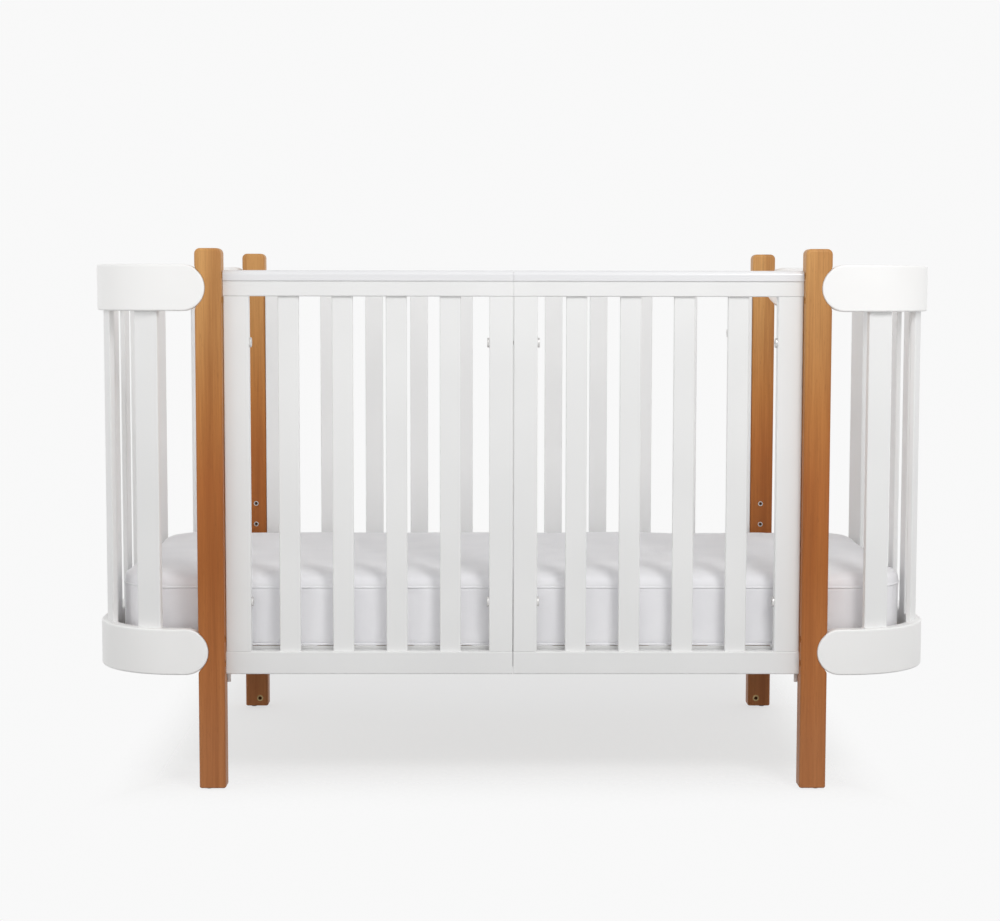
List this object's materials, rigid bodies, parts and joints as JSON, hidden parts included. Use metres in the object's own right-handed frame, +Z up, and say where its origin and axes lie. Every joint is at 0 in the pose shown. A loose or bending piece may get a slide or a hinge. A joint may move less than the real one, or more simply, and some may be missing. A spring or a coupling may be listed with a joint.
{
  "type": "baby crib",
  "caption": "Baby crib with square wooden legs, bent-wood bands round both rounded ends, upright slats, capped top rails, a slatted base at a set of heights, and a mattress.",
  "frame": {"origin": "on the floor, below the middle of the crib", "axes": "+Z up, +X to the right along the crib's length, -Y towards the front, whose panel is in two halves"},
  "size_m": [1.378, 0.712, 0.88],
  "materials": {
    "beech_stain": "satin, stained beech",
    "white_lacquer": "satin white lacquer",
    "bare_wood": "sanded, clear",
    "rail_cover": "gloss",
    "steel": "zinc plated",
    "glide": "matt",
    "foam": "open-cell foam",
    "cover_fabric": "woven cotton"
  },
  "bodies": {
    "frame": {"band_barrel_nuts": "steel", "band_bolts": "steel", "band_left_lower": "white_lacquer", "band_left_upper": "white_lacquer", "band_right_lower": "white_lacquer", "band_right_upper": "white_lacquer", "base_bolts": "steel", "centre_bolts": "steel", "centre_sleeve_nuts": "steel", "end_slats_left": "white_lacquer", "end_slats_right": "white_lacquer", "foot_inserts": "steel", "front_left_bottom_rail": "white_lacquer", "front_left_inner_stile": "white_lacquer", "front_left_outer_stile": "white_lacquer", "front_left_rail_cover": "rail_cover", "front_left_slat_1": "white_lacquer", "front_left_slat_2": "white_lacquer", "front_left_slat_3": "white_lacquer", "front_left_slat_4": "white_lacquer", "front_left_top_rail": "white_lacquer", "front_right_bottom_rail": "white_lacquer", "front_right_inner_stile": "white_lacquer", "front_right_outer_stile": "white_lacquer", "front_right_rail_cover": "rail_cover", "front_right_slat_1": "white_lacquer", "front_right_slat_2": "white_lacquer", "front_right_slat_3": "white_lacquer", "front_right_slat_4": "white_lacquer", "front_right_top_rail": "white_lacquer", "glides": "glide", "leg_front_left": "beech_stain", "leg_front_right": "beech_stain", "leg_rear_left": "beech_stain", "leg_rear_right": "beech_stain", "panel_bolts": "steel", "rear_bottom_rail": "white_lacquer", "rear_left_stile": "white_lacquer", "rear_rail_cover": "rail_cover", "rear_right_stile": "white_lacquer", "rear_slat_1": "white_lacquer", "rear_slat_2": "white_lacquer", "rear_slat_3": "white_lacquer", "rear_slat_4": "white_lacquer", "rear_slat_5": "white_lacquer", "rear_slat_6": "white_lacquer", "rear_slat_7": "white_lacquer", "rear_slat_8": "white_lacquer", "rear_slat_9": "white_lacquer", "rear_top_rail": "white_lacquer", "threaded_inserts": "steel"},
    "base": {"base_brackets": "steel", "base_front_rail": "white_lacquer", "base_left_end_board": "bare_wood", "base_rear_rail": "white_lacquer", "base_right_end_board": "bare_wood", "base_screws": "steel", "base_slats": "bare_wood"},
    "mattress": {"mattress_core": "foam", "mattress_cover": "cover_fabric"}
  },
  "joints": [
    {"name": "base_height", "type": "slide", "parent": "frame", "child": "base", "axis": [0, 0, 1], "range_m": [0, 0.17]},
    {"name": "mattress_lift", "type": "slide", "parent": "base", "child": "mattress", "axis": [0, 0, 1], "range_m": [0, 0.66]}
  ]
}
